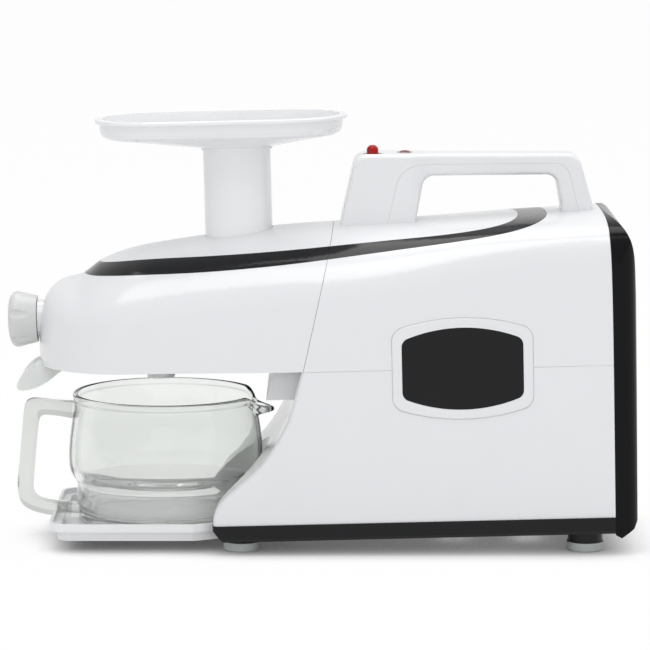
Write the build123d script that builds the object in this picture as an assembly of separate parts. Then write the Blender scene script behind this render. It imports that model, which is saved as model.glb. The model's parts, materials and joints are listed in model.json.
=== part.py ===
"""Horizontal twin-gear cold press juicer: motor housing with a carrying handle, a removable juicing head
with feed chute and tray, a glass jug and a drip tray.

The machine is drawn level in its own frame and then leant by LEAN, nose down, on short front and tall rear
feet. The jug, the drip tray and the foot pads are level. X runs from the outlet knob to the rear cover,
Z is up, and Y = 0 is the plane between the two juicing gears. All sizes are in millimetres.
"""
from build123d import *
import math
import os

# ---------------------------------------------------------------- driving dimensions
LEAN = 1.35                # degrees that the machine's rear stands higher than its nose
ORIGIN_X = 1.65            # level X of the middle of the overall length
FIT = 0.3                  # clearance between pieces that lift or slide apart
RUNNING = 0.05             # radial clearance of a shaft in its bearing
SKIN = 2.6                 # wall of the hood and the upper housing

NOSE_X = -214.7            # foremost point of the hood
NOSE_LENGTH = 70.0         # length of the rounded nose in plan
NOSE_HALF = 78.0           # half width of the hood behind the nose
NOSE_ROUNDNESS = 1.8       # exponent of the nose's plan curve; 2 is an ellipse
BODY_HALF = 87.0           # half width of the motor housing
SEAM_Z = 143.0             # parting plane of the hood and the upper housing
SEAM_X = -7.3              # hood to body seam, at the parting plane
SEAM_TOP_X = 18.3          # hood to body seam, at the ridge
RIDGE_END_X = 236.0        # rear end of the straight ridge
COVER_X = 229.0            # front edge of the rear cover on the side walls
COVER_TOP_X = 226.0        # front edge of the rear cover on the ridge
REAR_X = 247.6             # rear face
COVER_WALL = 3.0

BASE_LEDGE = 1.0           # how far the base stands out past the side walls
BASE_HALF = BODY_HALF + BASE_LEDGE
BASE_TOP = 25.0            # top edge of the black base
BASE_BOTTOM = 12.0
BASE_FRONT_X = -80.0
HOUSING_WALL = 3.0

BAND_DEPTH = 1.5           # how deep the black trim band sits in the skin
BAND_GAP = 0.1

GEAR_Z = 177.3             # height of the juicing gears' axes and of the outlet
GEAR_SPREAD = 36.0         # distance between the two gear axes
GEAR_OUTER = 40.0
GEAR_FRONT_X = -176.0
GEAR_REAR_X = -20.0
GEAR_TEETH = 11
GEAR_DEPTH = 3.6           # tooth height
GEAR_LEAD = 300.0          # axial length of one full turn of a helical tooth

CHUTE_X = -55.8            # middle of the feed chute
CHUTE_LENGTH = 52.6        # chute size along X
CHUTE_WIDTH = 46.0
CHUTE_WALL = 2.6
CHUTE_TOP = 307.0
TRAY_X = -67.4             # middle of the feed tray
TRAY_HALF_LENGTH = 98.4
TRAY_HALF_WIDTH = 53.0
TRAY_RIM_Z = 333.0
TRAY_FLOOR_Z = 309.0
TRAY_WALL = 2.4

JUG_X = -119.7             # level X of the jug's axis
JUG_BASE_Z = 13.0
JUG_RIM_Z = 114.0
JUG_RADIUS = 76.3
JUG_WALL = 3.2
POCKET_RADIUS = 82.0       # concave front of the housing round the jug

KNOB_RADIUS = 22.4
KNOB_LENGTH = 22.5
KNOB_LOBES = 6
KNOB_FRONT_X = -238.0
SOCKET_X = -188.0          # rear end of the outlet nozzle
NOZZLE_RADIUS = 15.0

FOOT_RADIUS = 14.3
FOOT_PAD = 7.0             # height of a rubber pad
FOOT_Y = 60.0
FRONT_FOOT_X = -58.7
REAR_FOOT_X = 207.0

HANDLE_HALF = 21.0
GRIP_HALF = 15.0
HANDLE_TOP_FRONT = 302.2
HANDLE_TOP_REAR = 298.4
HANDLE_CORNER = 12.0
HANDLE_WALL = 2.5

BADGE_X = 114.0            # middle of the side plate
BADGE_Z = 143.0
BADGE_LENGTH = 92.5
BADGE_HEIGHT = 63.0
BEZEL_PROUD = 1.0          # how far the plate's raised rim stands out of the side wall

OUTPUT_Z = GEAR_Z          # gearbox output axis
OUTPUT_Y = -GEAR_SPREAD / 2
STAGE_DROP = 45.0          # centre distance of both gear stages
LAYSHAFT_Z = OUTPUT_Z - STAGE_DROP
MOTOR_Z = LAYSHAFT_Z - STAGE_DROP
MOTOR_RADIUS = 42.0
MOTOR_FRONT_X = 92.0
MOTOR_REAR_X = 178.0
SHAFT_RADIUS = 6.0

# ridge height along the machine, at Y = 0
RIDGE = [(NOSE_X, 163.0), (-213.2, 178.0), (-210.0, 191.5), (-204.5, 201.0), (-196.0, 207.6),
         (-186.0, 210.6), (-179.5, 212.0), (-173.0, 216.2), (-166.0, 221.4), (-156.0, 226.0),
         (-137.0, 231.8), (-90.0, 238.8), (-24.0, 246.0), (SEAM_TOP_X, 248.0), (89.0, 249.5),
         (150.0, 251.5), (RIDGE_END_X, 254.8)]
# side view of the trim band's lower and upper edges
BAND_LOW = [(-179.5, 213.0), (-166.0, 214.8), (-150.0, 216.0), (-100.0, 218.0), (-50.0, 221.3), (13.0, 227.0),
            (68.0, 233.1), (105.0, 237.6), (141.0, 242.6), (163.0, 246.8), (190.0, 254.8)]
BAND_HIGH = [(-168.5, 221.3), (-141.0, 225.4), (-93.0, 228.6), (-28.0, 232.6), (13.5, 235.4),
             (68.7, 239.6), (103.0, 242.6), (127.0, 245.4), (149.0, 248.9), (170.0, 254.2)]

nodes = {}


# ---------------------------------------------------------------- helpers
def keep(name, shape):
    """Registers a piece that is already in the level frame."""
    nodes[name] = Pos(-ORIGIN_X, 0, 0) * shape


def keep_leant(name, shape):
    """Registers a piece drawn in the machine's frame."""
    keep(name, Rot(0, -LEAN, 0) * shape)


def level_height(x, z):
    """Level Z of a point of the machine's frame."""
    return x * math.sin(math.radians(LEAN)) + z * math.cos(math.radians(LEAN))


def block(x0, x1, y0, y1, z0, z1):
    size = (x1 - x0, y1 - y0, z1 - z0)
    return Pos((x0 + x1) / 2, (y0 + y1) / 2, (z0 + z1) / 2) * Box(*size)


def along_x(radius, x0, x1, y=0.0, z=0.0):
    return Pos((x0 + x1) / 2, y, z) * Rot(0, 90, 0) * Cylinder(radius, x1 - x0)


def upright(radius, z0, z1, x=0.0, y=0.0):
    return Pos(x, y, (z0 + z1) / 2) * Cylinder(radius, z1 - z0)


def side_prism(points, half_width, y_mid=0.0):
    """A closed side-view outline extruded across the machine."""
    outline = Plane.XZ * make_face(Polyline(*points, close=True))
    return Pos(0, y_mid, 0) * extrude(outline, amount=half_width, both=True)


def oval(length, width):
    """A rounded plan outline whose ends are half circles."""
    return SlotOverall(length, width)


def all_of(shapes):
    return Compound(children=list(shapes))


def smooth_step(start, end, x):
    t = min(1.0, max(0.0, (x - start) / (end - start)))
    return t * t * (3 - 2 * t)


def curve_height(points, x):
    """Height of a smooth curve without overshoot through the given side-view points."""
    slopes = [(b[1] - a[1]) / (b[0] - a[0]) for a, b in zip(points, points[1:])]
    bends = [slopes[0]]
    for before, after in zip(slopes, slopes[1:]):
        bends.append(2 * before * after / (before + after) if before * after > 0 else 0.0)
    bends.append(slopes[-1])
    x = min(max(x, points[0][0]), points[-1][0])
    for i, ((x0, z0), (x1, z1)) in enumerate(zip(points, points[1:])):
        if x <= x1:
            h = x1 - x0
            t = (x - x0) / h
            return (z0 * (1 + 2 * t) * (1 - t) ** 2 + z1 * t * t * (3 - 2 * t)
                    + h * t * (1 - t) * (bends[i] * (1 - t) - bends[i + 1] * t))


# ---------------------------------------------------------------- outer form above the parting plane
def half_width(x, inset):
    """Half width of the machine in plan, measured inset inside the outer skin."""
    widen = (BODY_HALF - NOSE_HALF) * smooth_step(NOSE_X + NOSE_LENGTH, SEAM_X, x)
    t = max(0.0, (NOSE_X + NOSE_LENGTH - x) / (NOSE_LENGTH - inset))
    roundness = (1 - min(1.0, t) ** NOSE_ROUNDNESS) ** (1 / NOSE_ROUNDNESS)
    return (NOSE_HALF - inset) * roundness + widen


def hull_section(x, inset, bottom):
    """Cross-section of the machine: straight side walls under a domed shoulder."""
    w = half_width(x, inset)
    behind_tip = x - inset if x < NOSE_X + NOSE_LENGTH / 2 else x
    top = curve_height(RIDGE, behind_tip) - inset
    rear = smooth_step(SEAM_TOP_X, SEAM_TOP_X + 155, x)
    wall_share = 0.36 + 0.13 * smooth_step(NOSE_X, 0, x) + 0.16 * rear
    z_wall = SEAM_Z + wall_share * (top - SEAM_Z)
    z_pull = z_wall + (0.62 + 0.23 * rear) * (top - z_wall)
    y_pull = (0.55 + 0.27 * rear) * w
    right = Bezier((w, z_wall), (w, z_pull), (y_pull, top), (0, top))
    left = Bezier((0, top), (-y_pull, top), (-w, z_pull), (-w, z_wall))
    edges = [Line((-w, bottom), (w, bottom)), Line((w, bottom), (w, z_wall)), right, left,
             Line((-w, z_wall), (-w, bottom))]
    return Plane(origin=(x, 0, 0), x_dir=(0, 1, 0), z_dir=(1, 0, 0)) * make_face(edges)


def hull(inset, bottom=SEAM_Z):
    """The whole upper form, from the nose to the rear end of the ridge, drawn inset inside its skin."""
    tip = NOSE_X + inset
    from_tip = (0.8, 3, 8, 16, 28, 34, 40, 47, 56, 70, 95, 125, 165, 205, 230)
    stations = [tip + d for d in from_tip] + [60, 110, 150, 190, RIDGE_END_X]
    return loft([hull_section(x, inset, bottom) for x in stations])


def seam_region(offset):
    """Everything in front of the slanted hood seam, moved back by offset."""
    run = (SEAM_TOP_X - SEAM_X) / (RIDGE[13][1] - SEAM_Z)
    low, high = SEAM_Z - 40, SEAM_Z + 140
    return side_prism([(NOSE_X - 20, low), (SEAM_X - 40 * run + offset, low),
                       (SEAM_X + 140 * run + offset, high), (NOSE_X - 20, high)], 110)


def cover_region(offset):
    """Everything behind the front edge of the rear cover, moved forward by offset."""
    edge = Spline((COVER_X - offset, BASE_BOTTOM - 20), (COVER_X - offset, 150),
                  (COVER_X - 0.3 - offset, 200), (COVER_X - 1.3 - offset, 240),
                  (COVER_TOP_X - offset, 256), tangents=[(0, 1), (-0.3, 1)])
    rest = Polyline(edge @ 1, (COVER_TOP_X - 6 - offset, 275), (REAR_X + 30, 275),
                    (REAR_X + 30, BASE_BOTTOM - 20), edge @ 0)
    face = make_face([*edge.edges(), *rest.edges()])
    return extrude(Plane.XZ * face, amount=110, both=True)


def band_slab(grow):
    """The slanting slice of the form that the trim band fills."""
    low = Spline(*[(x, z - grow) for x, z in BAND_LOW])
    high = Spline(*[(x, z + grow) for x, z in reversed(BAND_HIGH)])
    front = Line(high @ 1, low @ 0)
    back = Polyline(low @ 1, (BAND_LOW[-1][0] + 10, 275), (BAND_HIGH[-1][0] + 5, 275), high @ 0)
    face = make_face([*low.edges(), *back.edges(), *high.edges(), *front.edges()])
    return extrude(Plane.XZ * face, amount=110, both=True)


OUTER = hull(0)
UNDER_BAND = hull(BAND_DEPTH, SEAM_Z - 1)
INNER = hull(SKIN, SEAM_Z - 1)
SHELL = OUTER - INNER - ((OUTER - hull(BAND_DEPTH + BAND_GAP, SEAM_Z - 1)) & band_slab(BAND_GAP))
BAND = (OUTER - UNDER_BAND) & band_slab(0)


def chute_section(grow, z):
    return Pos(CHUTE_X, 0, z) * RectangleRounded(CHUTE_LENGTH + 2 * grow, CHUTE_WIDTH + 2 * grow,
                                                  CHUTE_WIDTH / 2 - 1 + grow)


def chute_prism(grow, z0, z1):
    return extrude(chute_section(grow, z0), amount=z1 - z0)


# ---------------------------------------------------------------- juicing head: hood
def make_hood():
    """Removable cover of the juicing head, open underneath, with holes for the chute and the outlet."""
    hood = SHELL & seam_region(-FIT)
    hood -= chute_prism(FIT, SEAM_Z, CHUTE_TOP)
    hood -= along_x(NOZZLE_RADIUS + 1, NOSE_X - 5, NOSE_X + 12, z=GEAR_Z)
    spout_notch = block(NOSE_X - 5, NOSE_X + 14, -SPOUT_HALF - 1, SPOUT_HALF + 1, SEAM_Z - 5, SPOUT_TOP + 1)
    keep_leant("hood", hood - spout_notch)
    keep_leant("hood_band", BAND & seam_region(-FIT))


# ---------------------------------------------------------------- juicing head: outlet, gears and chute
SPOUT_HALF = 19.0          # half width of the pulp spout
SPOUT_TOP = 147.2
CASING_RADIUS = 26.0       # outer radius of each lobe of the extraction housing
CASING_REAR_X = -8.0
SCREEN_REAR_X = -84.0
SCREEN_FRONT_X = -168.0
SCREEN_RADIUS = GEAR_OUTER / 2 + 0.6
PULP_CASING_RADIUS = 23.2
SCREEN_WALL = 1.0
JUICE_OUTLET_X = -120.0
JUICE_OUTLET_RADIUS = 11.0



def twin_lobes(radius, x0, x1):
    """The figure-eight space round both juicing gears."""
    half = GEAR_SPREAD / 2
    lobes = along_x(radius, x0, x1, half, GEAR_Z) + along_x(radius, x0, x1, -half, GEAR_Z)
    waist = block(x0, x1, -half, half, GEAR_Z - radius * 0.62, GEAR_Z + radius * 0.62)
    return lobes + waist


def make_extraction_housing():
    """White twin-lobed housing with the feed chute on top and the juice outlet below."""
    clear = GEAR_OUTER / 2 + 0.5
    body = twin_lobes(CASING_RADIUS, SCREEN_FRONT_X, CASING_REAR_X)
    body += chute_prism(0, GEAR_Z, CHUTE_TOP)
    body += upright(JUICE_OUTLET_RADIUS, SEAM_Z - 14, GEAR_Z, JUICE_OUTLET_X)
    flange = twin_lobes(CASING_RADIUS + 5, CASING_REAR_X - 4, CASING_REAR_X)
    body += flange
    body -= twin_lobes(clear, SCREEN_FRONT_X - 1, CASING_REAR_X - 8)
    body -= twin_lobes(SCREEN_RADIUS + SCREEN_WALL + FIT, SCREEN_FRONT_X - 1, SCREEN_REAR_X)
    body -= extrude(chute_section(-CHUTE_WALL, GEAR_Z), amount=CHUTE_TOP)
    body -= upright(JUICE_OUTLET_RADIUS - 2, SEAM_Z - 15, GEAR_Z - 15, JUICE_OUTLET_X)
    half = GEAR_SPREAD / 2
    for y in (-half, half):
        body -= along_x(SHAFT_RADIUS + 1.5, CASING_REAR_X - 9, CASING_REAR_X + 1, y, GEAR_Z)
    keep_leant("extraction_housing", body)


def make_screen():
    """Fine screen: a twin-lobed sleeve with slots along its underside."""
    screen = twin_lobes(SCREEN_RADIUS + SCREEN_WALL, SCREEN_FRONT_X, SCREEN_REAR_X - FIT)
    screen -= twin_lobes(SCREEN_RADIUS, SCREEN_FRONT_X - 1, SCREEN_REAR_X + 1)
    slot_rows = 7
    length = SCREEN_REAR_X - SCREEN_FRONT_X
    for row in range(slot_rows):
        x = SCREEN_FRONT_X + length * (row + 0.5) / slot_rows
        for y in (-GEAR_SPREAD / 2, GEAR_SPREAD / 2):
            screen -= block(x - 2, x + 2, y - 10, y + 10, GEAR_Z - SCREEN_RADIUS - 3, GEAR_Z - 10)
    keep_leant("fine_screen", screen)


def make_pulp_casing():
    """Front casing of the gears, with the threaded-looking outlet nozzle that the knob turns on."""
    casing = twin_lobes(PULP_CASING_RADIUS, SOCKET_X, SCREEN_FRONT_X - FIT)
    casing += along_x(NOZZLE_RADIUS, KNOB_FRONT_X + KNOB_LENGTH + 0.4, SOCKET_X + 1, z=GEAR_Z)
    casing -= twin_lobes(SCREEN_RADIUS, SOCKET_X + 4, SCREEN_FRONT_X + 1)
    casing -= along_x(NOZZLE_RADIUS - 3, NOSE_X - 3, SOCKET_X + 5, z=GEAR_Z)
    drop = block(SOCKET_X + 5, SOCKET_X + 14, -SPOUT_HALF + 4, SPOUT_HALF - 4, GEAR_Z - CASING_RADIUS - 2,
                 GEAR_Z - 10)
    keep_leant("pulp_casing", casing - drop)


def make_pulp_spout():
    """Curved translucent tongue that guides the pulp forward and down from under the nose."""
    top = [(-173.0, 153.6), (-187.0, 151.6), (-200.0, 149.4), (-214.0, 146.0), (-221.0, 142.4),
           (-227.8, 135.6), (-231.4, 129.4)]
    under = [(-229.0, 123.2), (-222.6, 123.6), (-214.2, 126.4), (-205.6, 131.4), (-198.2, 137.0),
             (-187.0, 142.0), (-173.0, 144.6)]
    upper = Spline(*top)
    lower = Spline(*under)
    tip = ThreePointArc(upper @ 1, (-231.9, 125.6), lower @ 0)
    face = make_face([*upper.edges(), *tip.edges(), *lower.edges(), Line(lower @ 1, upper @ 0)])
    tongue = extrude(Plane.XZ * face, amount=SPOUT_HALF, both=True)
    wall = 2.2
    hollow_face = make_face([*Spline(*[(x + 0.6, z - wall) for x, z in top]).edges(),
                             *Polyline((top[-1][0] + 0.6, top[-1][1] - wall), (-240.0, 112.0), (-171.0, 112.0),
                                       (-172.4, top[0][1] - wall)).edges()])
    hollow = extrude(Plane.XZ * hollow_face, amount=SPOUT_HALF - wall, both=True)
    keep_leant("pulp_spout", tongue - hollow)


def make_knob():
    """Lobed outlet adjusting knob with a crowned front and a stem that closes into the nozzle."""
    side = Polyline((0, 0), (KNOB_RADIUS - 4.1, 0), (KNOB_RADIUS - 0.5, KNOB_LENGTH - 7.5))
    crown = Spline(side @ 1, (KNOB_RADIUS - 1.6, KNOB_LENGTH - 3.6), (KNOB_RADIUS - 5.4, KNOB_LENGTH - 1.2),
                   (9.0, KNOB_LENGTH))
    rest = Polyline(crown @ 1, (0, KNOB_LENGTH), (0, 0))
    knob = revolve(Plane.XZ * make_face([*side.edges(), *crown.edges(), *rest.edges()]), Axis.Z)
    knob = Pos(0, 0, -KNOB_LENGTH / 2) * knob
    for i in range(KNOB_LOBES):
        angle = 360 * i / KNOB_LOBES - 72
        knob -= Rot(0, 0, angle) * Pos(KNOB_RADIUS + 1.9, 0, 0) * Cylinder(4.8, KNOB_LENGTH + 2)
    knob -= Pos(0, 0, KNOB_LENGTH / 2) * Cylinder(6, 2)
    # local +Z becomes the machine's -X
    placed = Pos(KNOB_FRONT_X + KNOB_LENGTH / 2, 0, GEAR_Z) * Rot(0, -90, 0) * knob
    rear_x = KNOB_FRONT_X + KNOB_LENGTH
    stem = along_x(NOZZLE_RADIUS - 3 - FIT, rear_x - 1, SOCKET_X - 4, z=GEAR_Z)
    bore = along_x(4.5, KNOB_FRONT_X + 8, SOCKET_X + 1, z=GEAR_Z)
    keep_leant("outlet_knob", placed + stem - bore)


def gear_outline():
    """Section of a juicing gear: teeth with straight flanks that clear each other in mesh."""
    root = GEAR_SPREAD - GEAR_OUTER / 2 - 0.8
    outline = []
    for i in range(GEAR_TEETH):
        middle = 2 * math.pi * i / GEAR_TEETH
        pitch = 2 * math.pi / GEAR_TEETH
        for share, r in ((-0.30, root), (-0.11, GEAR_OUTER / 2), (0.11, GEAR_OUTER / 2), (0.30, root)):
            a = middle + share * pitch
            outline.append((r * math.cos(a), r * math.sin(a)))
    return make_face(Polyline(*outline, close=True))


def twisted_gear(y, hand, phase):
    """One juicing gear without its shaft; hand is 1 or -1 for the way its teeth twist."""
    length = GEAR_REAR_X - GEAR_FRONT_X
    outline = gear_outline()
    turns = length / GEAR_LEAD
    steps = 6
    sections = []
    for i in range(steps + 1):
        share = i / steps
        angle = phase + hand * 360 * turns * share
        sections.append(Pos(0, 0, length * share) * Rot(0, 0, angle) * outline)
    screw = loft(sections, ruled=True)
    return Pos(GEAR_REAR_X, y, GEAR_Z) * Rot(0, -90, 0) * screw


def make_gears():
    """The two contra-rotating juicing gears; their rear shafts run through the extraction housing."""
    half = GEAR_SPREAD / 2
    drive = twisted_gear(-half, 1, 0.0)
    driven = twisted_gear(half, -1, 180.0 / GEAR_TEETH)
    journal = SHAFT_RADIUS
    front = SOCKET_X + 6
    drive += along_x(journal, GEAR_REAR_X - 1, DRIVE_SOCKET_X, -half, GEAR_Z)
    driven += along_x(journal, GEAR_REAR_X - 1, CASING_REAR_X - 1, half, GEAR_Z)
    drive += along_x(journal, front, GEAR_FRONT_X + 1, -half, GEAR_Z)
    driven += along_x(journal, front, GEAR_FRONT_X + 1, half, GEAR_Z)
    keep_leant("drive_gear", drive)
    keep_leant("driven_gear", driven)


DRIVE_SOCKET_X = 14.0      # rear end of the drive gear's shaft, inside the output shaft's cup


def make_housing_seal():
    """Rubber ring between the extraction housing's flange and the bulkhead."""
    ring = twin_lobes(CASING_RADIUS + 4, CASING_REAR_X + 0.1, CASING_REAR_X + 3)
    keep_leant("housing_seal", ring - twin_lobes(CASING_RADIUS - 2, CASING_REAR_X - 1, CASING_REAR_X + 5))


# ---------------------------------------------------------------- feed tray
def tray_level(drawn_in, depth):
    """Plan of the feed tray, drawn in from its rim, at a depth below the rim's top."""
    return Pos(TRAY_X, 0, TRAY_RIM_Z - depth) * oval(2 * (TRAY_HALF_LENGTH - drawn_in),
                                                     2 * (TRAY_HALF_WIDTH - drawn_in))


def make_feed_tray():
    """Shallow oval dish round the mouth of the chute, with a spigot that sits inside the chute."""
    outside = [(3.6, 3.4), (3.9, 10.0), (5.3, 13.2), (8.6, 15.4), (13.0, 16.2)]
    inside = [(5.6, -1.0), (6.3, 9.0), (8.3, 11.9), (12.0, 13.5), (16.0, 14.1)]
    neck = Pos(CHUTE_X, 0, TRAY_FLOOR_Z) * oval(CHUTE_LENGTH + 3, CHUTE_WIDTH + 3)
    mouth = Pos(CHUTE_X, 0, TRAY_FLOOR_Z + 2) * oval(CHUTE_LENGTH - 10, CHUTE_WIDTH - 10)
    lip = extrude(tray_level(0, 3.4), amount=3.4)
    lip = fillet(lip.edges(), 1.2)
    outer = lip + loft([tray_level(*level) for level in outside] + [neck], ruled=True)
    hollow = loft([tray_level(*level) for level in inside] + [mouth], ruled=True)
    collar = extrude(Pos(CHUTE_X, 0, TRAY_FLOOR_Z) * oval(CHUTE_LENGTH + 3, CHUTE_WIDTH + 3),
                     amount=-(TRAY_FLOOR_Z - CHUTE_TOP) + 0.0)
    spigot = extrude(chute_section(-CHUTE_WALL - FIT, CHUTE_TOP + 0.1 - 14), amount=15)
    bore = extrude(chute_section(-CHUTE_WALL - FIT - 2, CHUTE_TOP - 20), amount=30)
    tray = outer - hollow + spigot + collar
    keep_leant("feed_tray", tray - bore)


# ---------------------------------------------------------------- motor housing
FRONT_EDGE = [(-9.0, SEAM_Z), (-15.5, 119.0), (-20.3, 105.0), (-28.0, 90.5), (-42.5, 70.5), (-66.0, 50.0),
              (-76.5, 38.5), (-79.4, BASE_TOP + 3)]
NECK_HALF = 62.0           # half width of the ledge that the hood's rear rests on
NECK_BOTTOM = 118.0
SLOT_PITCH = 6.0           # spacing of the cooling slots
SEAM_GROOVE = 0.5          # shadow line along the parting plane


def front_outline(inset, low):
    """Side view of the lower housing: a curved front that leaves room for the jug."""
    curve = Spline(*[(x + inset, z) for x, z in FRONT_EDGE])
    rest = Polyline(curve @ 1, (FRONT_EDGE[-1][0] + inset, low), (COVER_X - FIT / 2, low),
                    (COVER_X - FIT / 2, SEAM_Z), curve @ 0)
    return make_face([*curve.edges(), *rest.edges()])


def pocket(grow):
    """Upright cylinder round the jug, in the machine's frame."""
    return Rot(0, LEAN, 0) * upright(POCKET_RADIUS + grow, -10, level_height(SEAM_X, 112), JUG_X)


def neck(inset):
    points = [(-29.2 + inset, SEAM_Z), (-36.8 + inset, NECK_BOTTOM + inset), (-10.0, NECK_BOTTOM + inset),
              (-4.0, SEAM_Z)]
    return side_prism(points, NECK_HALF - inset)


def badge_outline(grow):
    """Plan of the side plate: straight ends under shallow arches."""
    half_length = BADGE_LENGTH / 2 + grow
    corner = BADGE_HEIGHT / 2 - 9.5 + grow
    crown = BADGE_HEIGHT / 2 + grow
    top = ThreePointArc((-half_length, corner), (0, crown), (half_length, corner))
    bottom = ThreePointArc((half_length, -corner), (0, -crown), (-half_length, -corner))
    face = make_face([*top.edges(), *Line(top @ 1, bottom @ 0).edges(), *bottom.edges(),
                      *Line(bottom @ 1, top @ 0).edges()])
    return fillet(face.vertices(), 7 + grow / 2)


def badge_prism(grow, y_outer, y_inner):
    """The plate's outline between two depths on the near side wall."""
    placed = Plane(origin=(BADGE_X, -y_outer, BADGE_Z), x_dir=(1, 0, 0), z_dir=(0, 1, 0)) * badge_outline(grow)
    return extrude(placed, amount=y_outer - y_inner)


BEZEL_WIDTH = 7.5
BADGE_RECESS = 1.4         # depth of the recess that the plate and its rim sit in


def cover_boss(y, z):
    """Boss on a housing's side wall that takes one rear cover screw."""
    rear = COVER_X - FIT / 2
    boss = along_x(5, rear - 22, rear, y, z)
    boss += block(rear - 22, rear, min(y, math.copysign(BODY_HALF - 1.5, y)),
                  max(y, math.copysign(BODY_HALF - 1.5, y)), z - 1.2, z + 1.2)
    return boss - along_x(SCREW_RADIUS, rear - 20, rear + 1, y, z)


def make_lower_housing():
    """White lower housing: curved front with a concave pocket for the jug; a grey rest carries the hood's rear."""
    outer = extrude(Plane.XZ * front_outline(0, BASE_TOP), amount=BODY_HALF, both=True)
    front_edges = outer.edges().filter_by(lambda e: e.center().X < 0 and abs(abs(e.center().Y) - BODY_HALF) < 0.1
                                          and e.center().Z > BASE_TOP + 1 and e.center().Z < SEAM_Z - 1
                                          and e.length > 20)
    outer = fillet(front_edges, 4.5)
    keep_leant("hood_rest", neck(0) - outer - neck(2.4))
    outer = outer - pocket(0)
    wall = HOUSING_WALL
    inner = extrude(Plane.XZ * front_outline(wall, BASE_TOP - 1), amount=BODY_HALF - wall, both=True)
    inner = inner - pocket(wall) + block(10, COVER_X + 1, -60, 60, SEAM_Z - 20, SEAM_Z + 1)
    inner &= block(-90, COVER_X + 1, -BODY_HALF, BODY_HALF, BASE_TOP - 1, SEAM_Z + 1)
    housing = outer - inner - badge_prism(BEZEL_WIDTH + 0.2, BODY_HALF + 5, BODY_HALF - BADGE_RECESS)
    for side in (-1, 1):
        groove = side * BODY_HALF
        housing -= block(SEAM_X - 10, COVER_X + 1, groove - SEAM_GROOVE, groove + SEAM_GROOVE,
                         SEAM_Z - SEAM_GROOVE, SEAM_Z + 1)
    for x, y in BASE_BOSSES:
        housing += upright(5, BASE_TOP, BASE_TOP + 30, x, y)
        housing += block(x - 1.2, x + 1.2, min(y, math.copysign(BODY_HALF - 1, y)),
                         max(y, math.copysign(BODY_HALF - 1, y)), BASE_TOP, BASE_TOP + 28)
        housing -= upright(SCREW_RADIUS, BASE_TOP - 1, BASE_TOP + 22, x, y)
    for y, z in COVER_SCREWS:
        if z < SEAM_Z:
            housing += cover_boss(y, z)
    keep_leant("lower_housing", housing)


SCREW_RADIUS = 2.0
SCREW_HEAD = 3.8
BASE_BOSSES = [(-45.0, 74.0), (-45.0, -74.0), (75.0, 74.0), (75.0, -74.0), (186.0, 74.0), (186.0, -74.0)]


def make_upper_housing():
    """White upper housing behind the hood, domed like it and open below."""
    shell = SHELL - seam_region(0) - cover_region(FIT / 2)
    shell -= badge_prism(BEZEL_WIDTH + 0.2, BODY_HALF + 5, BODY_HALF - BADGE_RECESS)
    for x in HANDLE_SCREWS:
        shell -= upright(SCREW_RADIUS + 0.3, 235, 262, x)
    shell -= block(SWITCH_X - 12, SWITCH_X + 10, -9, 9, 240, 262)
    for y, z in COVER_SCREWS:
        if z > SEAM_Z:
            shell += cover_boss(y, z) - cover_region(FIT / 2)
    keep_leant("upper_housing", shell)
    keep_leant("body_band", BAND - seam_region(0))


def make_badge():
    """Raised white rim and plain black plate on the near side, across the housing's parting line."""
    floor = BODY_HALF - BADGE_RECESS
    rim = badge_prism(BEZEL_WIDTH, BODY_HALF + BEZEL_PROUD, floor)
    rim = chamfer(rim.edges().filter_by(lambda e: abs(e.center().Y + BODY_HALF + BEZEL_PROUD) < 0.01), 0.8)
    rim -= badge_prism(0.1, BODY_HALF + 5, floor + 0.4)
    keep_leant("side_plate_rim", rim)
    keep_leant("side_plate", badge_prism(0, BODY_HALF + 0.4, floor + 0.4))


def make_bulkhead():
    """Slanted front wall of the motor housing, behind the head, with the drive's openings."""
    wall = (hull(SKIN + 0.05, SEAM_Z) & seam_region(6.5)) - seam_region(3.5)
    wall -= along_x(BEARING_RADIUS + 0.02, -20, 40, OUTPUT_Y, GEAR_Z)
    keep_leant("bulkhead", wall)
    bearing = along_x(BEARING_RADIUS, BULKHEAD_X, BULKHEAD_X + 10.5, OUTPUT_Y, GEAR_Z)
    bearing += along_x(BEARING_RADIUS + 3, BULKHEAD_X + 8.5, BULKHEAD_X + 10.5, OUTPUT_Y, GEAR_Z)
    keep_leant("output_bearing", bearing - along_x(OUTPUT_RADIUS + RUNNING, 0, 40, OUTPUT_Y, GEAR_Z))


BEARING_RADIUS = 15.0
OUTPUT_RADIUS = 11.0       # the output shaft's cup, which the drive gear's shaft enters
BULKHEAD_X = 3.0


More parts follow.
